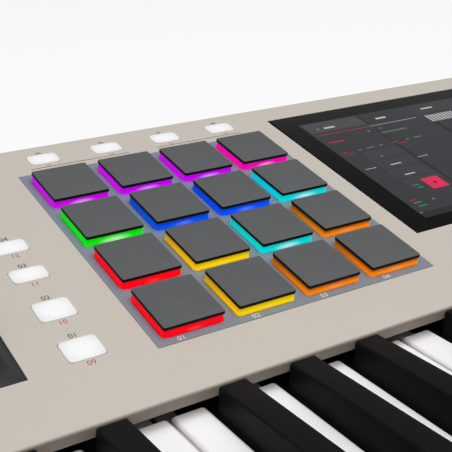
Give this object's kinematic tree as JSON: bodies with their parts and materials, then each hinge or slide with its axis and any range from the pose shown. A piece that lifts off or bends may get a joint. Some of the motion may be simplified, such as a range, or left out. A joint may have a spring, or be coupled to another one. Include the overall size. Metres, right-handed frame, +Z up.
{
  "type": "sampler keyboard",
  "caption": "Desktop sampler keyboard with lit drum pads, a touch display, knobs and wheels on a sloping panel behind a piano-style keybed.",
  "frame": {"origin": "on the floor under the middle of the unit's overall width and depth", "axes": "+X to the player's right along the keys, +Y away from the player, +Z up"},
  "size_m": [0.566, 0.316, 0.0909],
  "materials": {
    "case_plastic": "satin, fine grain",
    "surround_plate": "semi-gloss slate blue",
    "circuit_board": "solder mask",
    "black_glass": "polished",
    "metal_frame": "plated sheet",
    "black_plastic": "satin",
    "socket_plastic": "satin",
    "socket_metal": "plated",
    "foot_rubber": "matt",
    "screw_steel": "plated",
    "button_white": "translucent, lit from below",
    "knob_black": "soft touch",
    "wheel_rubber": "matt",
    "key_white": "gloss",
    "key_black": "satin",
    "pad_red": "matt grey top over a translucent skirt lit red",
    "pad_yellow": "matt grey top over a translucent skirt lit yellow",
    "pad_orange": "matt grey top over a translucent skirt lit orange",
    "pad_cyan": "matt grey top over a translucent skirt lit cyan",
    "pad_green": "matt grey top over a translucent skirt lit green",
    "pad_blue": "matt grey top over a translucent skirt lit blue",
    "pad_magenta": "matt grey top over a translucent skirt lit magenta",
    "pad_pink": "matt grey top over a translucent skirt lit pink"
  },
  "bodies": {
    "case": {"top_case": "case_plastic", "bottom_case": "case_plastic", "left_cheek": "case_plastic", "right_cheek": "case_plastic", "pad_surround": "surround_plate", "control_boards": "circuit_board", "rear_panel": "case_plastic", "display_glass": "black_glass", "display_module": "metal_frame", "wheel_bezel": "black_plastic", "keybed_frame": "black_plastic", "main_circuit_board": "circuit_board", "audio_jacks": "socket_plastic", "data_sockets": "socket_metal", "rubber_feet": "foot_rubber", "case_screws": "screw_steel"},
    "pad_1": {"pad_1": "pad_red"},
    "pad_2": {"pad_2": "pad_yellow"},
    "pad_3": {"pad_3": "pad_orange"},
    "pad_4": {"pad_4": "pad_orange"},
    "pad_5": {"pad_5": "pad_red"},
    "pad_6": {"pad_6": "pad_yellow"},
    "pad_7": {"pad_7": "pad_cyan"},
    "pad_8": {"pad_8": "pad_orange"},
    "pad_9": {"pad_9": "pad_green"},
    "pad_10": {"pad_10": "pad_blue"},
    "pad_11": {"pad_11": "pad_blue"},
    "pad_12": {"pad_12": "pad_cyan"},
    "pad_13": {"pad_13": "pad_magenta"},
    "pad_14": {"pad_14": "pad_magenta"},
    "pad_15": {"pad_15": "pad_magenta"},
    "pad_16": {"pad_16": "pad_pink"},
    "note_repeat_button": {"note_repeat_button": "button_white"},
    "erase_button": {"erase_button": "button_white"},
    "sixteen_levels_button": {"sixteen_levels_button": "button_white"},
    "full_level_button": {"full_level_button": "button_white"},
    "pad_bank_button_1": {"pad_bank_button_1": "button_white"},
    "pad_bank_button_2": {"pad_bank_button_2": "button_white"},
    "pad_bank_button_3": {"pad_bank_button_3": "button_white"},
    "pad_bank_button_4": {"pad_bank_button_4": "button_white"},
    "transport_buttons": {"transport_buttons": "button_white"},
    "function_buttons": {"function_buttons": "button_white"},
    "power_button": {"power_button": "knob_black"},
    "parameter_knob_1": {"parameter_knob_1": "knob_black"},
    "parameter_knob_2": {"parameter_knob_2": "knob_black"},
    "parameter_knob_3": {"parameter_knob_3": "knob_black"},
    "parameter_knob_4": {"parameter_knob_4": "knob_black"},
    "volume_knob": {"volume_knob": "knob_black"},
    "data_dial": {"data_dial": "knob_black"},
    "pitch_wheel": {"pitch_wheel": "wheel_rubber"},
    "mod_wheel": {"mod_wheel": "wheel_rubber"},
    "white_keys_c_e_g_b_1": {"white_keys_c_e_g_b_1": "key_white"},
    "white_keys_d_f_a_1": {"white_keys_d_f_a_1": "key_white"},
    "black_keys_1": {"black_keys_1": "key_black"},
    "white_keys_c_e_g_b_2": {"white_keys_c_e_g_b_2": "key_white"},
    "white_keys_d_f_a_2": {"white_keys_d_f_a_2": "key_white"},
    "black_keys_2": {"black_keys_2": "key_black"},
    "white_keys_c_e_g_b_3": {"white_keys_c_e_g_b_3": "key_white"},
    "white_keys_d_f_a_3": {"white_keys_d_f_a_3": "key_white"},
    "black_keys_3": {"black_keys_3": "key_black"}
  },
  "joints": [
    {"name": "pad_1_press", "type": "slide", "parent": "case", "child": "pad_1", "axis": [0, 0.1994, -0.9799], "range_m": [0, 0.001], "stiffness_N_per_m": 1500, "springref_m": -0.002},
    {"name": "pad_2_press", "type": "slide", "parent": "case", "child": "pad_2", "axis": [0, 0.1994, -0.9799], "range_m": [0, 0.001], "stiffness_N_per_m": 1500, "springref_m": -0.002},
    {"name": "pad_3_press", "type": "slide", "parent": "case", "child": "pad_3", "axis": [0, 0.1994, -0.9799], "range_m": [0, 0.001], "stiffness_N_per_m": 1500, "springref_m": -0.002},
    {"name": "pad_4_press", "type": "slide", "parent": "case", "child": "pad_4", "axis": [0, 0.1994, -0.9799], "range_m": [0, 0.001], "stiffness_N_per_m": 1500, "springref_m": -0.002},
    {"name": "pad_5_press", "type": "slide", "parent": "case", "child": "pad_5", "axis": [0, 0.1994, -0.9799], "range_m": [0, 0.001], "stiffness_N_per_m": 1500, "springref_m": -0.002},
    {"name": "pad_6_press", "type": "slide", "parent": "case", "child": "pad_6", "axis": [0, 0.1994, -0.9799], "range_m": [0, 0.001], "stiffness_N_per_m": 1500, "springref_m": -0.002},
    {"name": "pad_7_press", "type": "slide", "parent": "case", "child": "pad_7", "axis": [0, 0.1994, -0.9799], "range_m": [0, 0.001], "stiffness_N_per_m": 1500, "springref_m": -0.002},
    {"name": "pad_8_press", "type": "slide", "parent": "case", "child": "pad_8", "axis": [0, 0.1994, -0.9799], "range_m": [0, 0.001], "stiffness_N_per_m": 1500, "springref_m": -0.002},
    {"name": "pad_9_press", "type": "slide", "parent": "case", "child": "pad_9", "axis": [0, 0.1994, -0.9799], "range_m": [0, 0.001], "stiffness_N_per_m": 1500, "springref_m": -0.002},
    {"name": "pad_10_press", "type": "slide", "parent": "case", "child": "pad_10", "axis": [0, 0.1994, -0.9799], "range_m": [0, 0.001], "stiffness_N_per_m": 1500, "springref_m": -0.002},
    {"name": "pad_11_press", "type": "slide", "parent": "case", "child": "pad_11", "axis": [0, 0.1994, -0.9799], "range_m": [0, 0.001], "stiffness_N_per_m": 1500, "springref_m": -0.002},
    {"name": "pad_12_press", "type": "slide", "parent": "case", "child": "pad_12", "axis": [0, 0.1994, -0.9799], "range_m": [0, 0.001], "stiffness_N_per_m": 1500, "springref_m": -0.002},
    {"name": "pad_13_press", "type": "slide", "parent": "case", "child": "pad_13", "axis": [0, 0.1994, -0.9799], "range_m": [0, 0.001], "stiffness_N_per_m": 1500, "springref_m": -0.002},
    {"name": "pad_14_press", "type": "slide", "parent": "case", "child": "pad_14", "axis": [0, 0.1994, -0.9799], "range_m": [0, 0.001], "stiffness_N_per_m": 1500, "springref_m": -0.002},
    {"name": "pad_15_press", "type": "slide", "parent": "case", "child": "pad_15", "axis": [0, 0.1994, -0.9799], "range_m": [0, 0.001], "stiffness_N_per_m": 1500, "springref_m": -0.002},
    {"name": "pad_16_press", "type": "slide", "parent": "case", "child": "pad_16", "axis": [0, 0.1994, -0.9799], "range_m": [0, 0.001], "stiffness_N_per_m": 1500, "springref_m": -0.002},
    {"name": "note_repeat_button_press", "type": "slide", "parent": "case", "child": "note_repeat_button", "axis": [0, 0.1994, -0.9799], "range_m": [0, 0.0008], "stiffness_N_per_m": 700, "springref_m": -0.002},
    {"name": "erase_button_press", "type": "slide", "parent": "case", "child": "erase_button", "axis": [0, 0.1994, -0.9799], "range_m": [0, 0.0008], "stiffness_N_per_m": 700, "springref_m": -0.002},
    {"name": "sixteen_levels_button_press", "type": "slide", "parent": "case", "child": "sixteen_levels_button", "axis": [0, 0.1994, -0.9799], "range_m": [0, 0.0008], "stiffness_N_per_m": 700, "springref_m": -0.002},
    {"name": "full_level_button_press", "type": "slide", "parent": "case", "child": "full_level_button", "axis": [0, 0.1994, -0.9799], "range_m": [0, 0.0008], "stiffness_N_per_m": 700, "springref_m": -0.002},
    {"name": "pad_bank_button_1_press", "type": "slide", "parent": "case", "child": "pad_bank_button_1", "axis": [0, 0.1994, -0.9799], "range_m": [0, 0.0008], "stiffness_N_per_m": 700, "springref_m": -0.002},
    {"name": "pad_bank_button_2_press", "type": "slide", "parent": "case", "child": "pad_bank_button_2", "axis": [0, 0.1994, -0.9799], "range_m": [0, 0.0008], "stiffness_N_per_m": 700, "springref_m": -0.002},
    {"name": "pad_bank_button_3_press", "type": "slide", "parent": "case", "child": "pad_bank_button_3", "axis": [0, 0.1994, -0.9799], "range_m": [0, 0.0008], "stiffness_N_per_m": 700, "springref_m": -0.002},
    {"name": "pad_bank_button_4_press", "type": "slide", "parent": "case", "child": "pad_bank_button_4", "axis": [0, 0.1994, -0.9799], "range_m": [0, 0.0008], "stiffness_N_per_m": 700, "springref_m": -0.002},
    {"name": "transport_buttons_press", "type": "slide", "parent": "case", "child": "transport_buttons", "axis": [0, 0.1994, -0.9799], "range_m": [0, 0.0008], "stiffness_N_per_m": 700, "springref_m": -0.002},
    {"name": "function_buttons_press", "type": "slide", "parent": "case", "child": "function_buttons", "axis": [0, 0.1994, -0.9799], "range_m": [0, 0.0008], "stiffness_N_per_m": 700, "springref_m": -0.002},
    {"name": "power_button_press", "type": "slide", "parent": "case", "child": "power_button", "axis": [0, -1, 0], "range_m": [0, 0.0015], "stiffness_N_per_m": 500, "springref_m": -0.002},
    {"name": "parameter_knob_1_turn", "type": "hinge", "parent": "case", "child": "parameter_knob_1", "pos_m": [0.146, 0.04762, 0.05871], "axis": [0, -0.1994, 0.9799], "continuous": true},
    {"name": "parameter_knob_2_turn", "type": "hinge", "parent": "case", "child": "parameter_knob_2", "pos_m": [0.146, 0.07506, 0.0643], "axis": [0, -0.1994, 0.9799], "continuous": true},
    {"name": "parameter_knob_3_turn", "type": "hinge", "parent": "case", "child": "parameter_knob_3", "pos_m": [0.146, 0.1025, 0.06988], "axis": [0, -0.1994, 0.9799], "continuous": true},
    {"name": "parameter_knob_4_turn", "type": "hinge", "parent": "case", "child": "parameter_knob_4", "pos_m": [0.146, 0.12993, 0.07546], "axis": [0, -0.1994, 0.9799], "continuous": true},
    {"name": "volume_knob_turn", "type": "hinge", "parent": "case", "child": "volume_knob", "pos_m": [-0.248, 0.12405, 0.07426], "axis": [0, -0.1994, 0.9799], "range_deg": [-150, 150]},
    {"name": "data_dial_turn", "type": "hinge", "parent": "case", "child": "data_dial", "pos_m": [0.24, 0.1123, 0.07187], "axis": [0, -0.1994, 0.9799], "continuous": true},
    {"name": "pitch_wheel_turn", "type": "hinge", "parent": "case", "child": "pitch_wheel", "pos_m": [-0.26, 0.05137, 0.05029], "axis": [1, 0, 0], "range_deg": [-30, 30], "stiffness_Nm_per_rad": 0.15},
    {"name": "mod_wheel_turn", "type": "hinge", "parent": "case", "child": "mod_wheel", "pos_m": [-0.236, 0.05137, 0.05029], "axis": [1, 0, 0], "range_deg": [-60, 0]},
    {"name": "white_keys_c_e_g_b_1_hinge", "type": "hinge", "parent": "case", "child": "white_keys_c_e_g_b_1", "pos_m": [0, 0.0245, 0.0332], "axis": [1, 0, 0], "range_deg": [0, 3.2], "stiffness_Nm_per_rad": 3, "springref_deg": -5.73},
    {"name": "white_keys_d_f_a_1_hinge", "type": "hinge", "parent": "case", "child": "white_keys_d_f_a_1", "pos_m": [0, 0.0245, 0.0264], "axis": [1, 0, 0], "range_deg": [0, 3.2], "stiffness_Nm_per_rad": 3, "springref_deg": -5.73},
    {"name": "black_keys_1_hinge", "type": "hinge", "parent": "case", "child": "black_keys_1", "pos_m": [0, 0.0245, 0.0196], "axis": [1, 0, 0], "range_deg": [0, 3.2], "stiffness_Nm_per_rad": 3, "springref_deg": -5.73},
    {"name": "white_keys_c_e_g_b_2_hinge", "type": "hinge", "parent": "case", "child": "white_keys_c_e_g_b_2", "pos_m": [0, 0.0245, 0.0332], "axis": [1, 0, 0], "range_deg": [0, 3.2], "stiffness_Nm_per_rad": 3, "springref_deg": -5.73},
    {"name": "white_keys_d_f_a_2_hinge", "type": "hinge", "parent": "case", "child": "white_keys_d_f_a_2", "pos_m": [0, 0.0245, 0.0264], "axis": [1, 0, 0], "range_deg": [0, 3.2], "stiffness_Nm_per_rad": 3, "springref_deg": -5.73},
    {"name": "black_keys_2_hinge", "type": "hinge", "parent": "case", "child": "black_keys_2", "pos_m": [0, 0.0245, 0.0196], "axis": [1, 0, 0], "range_deg": [0, 3.2], "stiffness_Nm_per_rad": 3, "springref_deg": -5.73},
    {"name": "white_keys_c_e_g_b_3_hinge", "type": "hinge", "parent": "case", "child": "white_keys_c_e_g_b_3", "pos_m": [0, 0.0245, 0.0332], "axis": [1, 0, 0], "range_deg": [0, 3.2], "stiffness_Nm_per_rad": 3, "springref_deg": -5.73},
    {"name": "white_keys_d_f_a_3_hinge", "type": "hinge", "parent": "case", "child": "white_keys_d_f_a_3", "pos_m": [0, 0.0245, 0.0264], "axis": [1, 0, 0], "range_deg": [0, 3.2], "stiffness_Nm_per_rad": 3, "springref_deg": -5.73},
    {"name": "black_keys_3_hinge", "type": "hinge", "parent": "case", "child": "black_keys_3", "pos_m": [0, 0.0245, 0.0196], "axis": [1, 0, 0], "range_deg": [0, 3.2], "stiffness_Nm_per_rad": 3, "springref_deg": -5.73}
  ]
}
